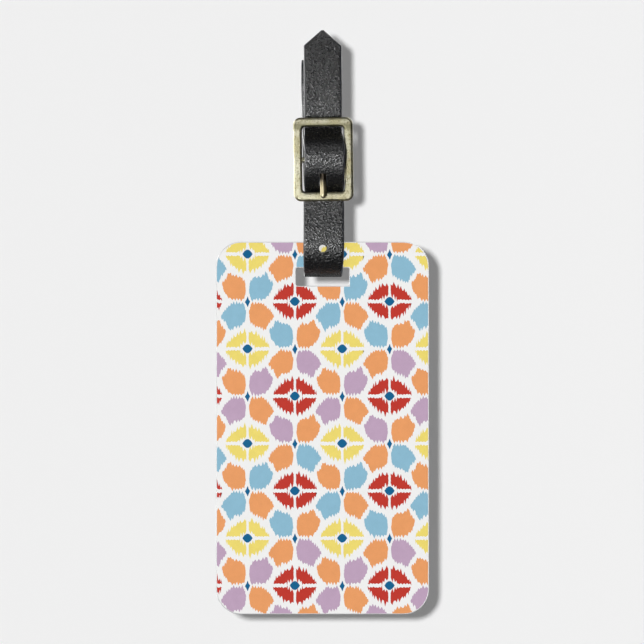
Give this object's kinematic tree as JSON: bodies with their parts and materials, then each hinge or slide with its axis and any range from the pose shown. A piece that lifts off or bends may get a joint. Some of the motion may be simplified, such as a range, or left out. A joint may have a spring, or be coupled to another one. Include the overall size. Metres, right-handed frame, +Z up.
{
  "type": "luggage tag",
  "caption": "Luggage tag: a rounded rectangular plate with a printed pattern, slotted near its top for a buckled leather strap that closes into a handle loop.",
  "frame": {"origin": "the top of the inside of the strap's loop, where a bag's handle carries the tag, in the loop's middle from front to back", "axes": "+Z up along the plate and strap, the printed face towards -Y, +X to the right when facing the printed face"},
  "size_m": [0.0508, 0.016, 0.1394],
  "materials": {
    "acrylic": "gloss",
    "front_film": "gloss",
    "back_film": "gloss",
    "leather": "pebbled grain",
    "frame_brass": "antique, brushed",
    "prong_brass": "polished",
    "thread": "waxed"
  },
  "bodies": {
    "strap_and_buckle": {"strap": "leather", "buckle_frame": "frame_brass", "centre_bar": "frame_brass", "stitch_left_1": "thread", "stitch_left_2": "thread", "stitch_left_3": "thread", "stitch_right_1": "thread", "stitch_right_2": "thread", "stitch_right_3": "thread", "stitch_top_1": "thread", "stitch_top_2": "thread"},
    "plate": {"tag_core": "acrylic", "front_print": "front_film", "back_print": "back_film"},
    "prong": {"prong": "prong_brass"},
    "free_end": {"strap_tail": "leather"}
  },
  "joints": [
    {"name": "plate_swing", "type": "hinge", "parent": "strap_and_buckle", "child": "plate", "pos_m": [0, -0.00162, -0.0453], "axis": [1, 0, 0], "range_deg": [-100, 100]},
    {"name": "prong_lift", "type": "hinge", "parent": "strap_and_buckle", "child": "prong", "pos_m": [0.0001, -0.00762, -0.0226], "axis": [-0.9999, 0, -0.0122], "range_deg": [0, 6]},
    {"name": "free_end_lift", "type": "hinge", "parent": "strap_and_buckle", "child": "free_end", "pos_m": [0, -0.00658, -0.01185], "axis": [1, 0, 0], "range_deg": [0, 60], "stiffness_Nm_per_rad": 0.0005}
  ]
}
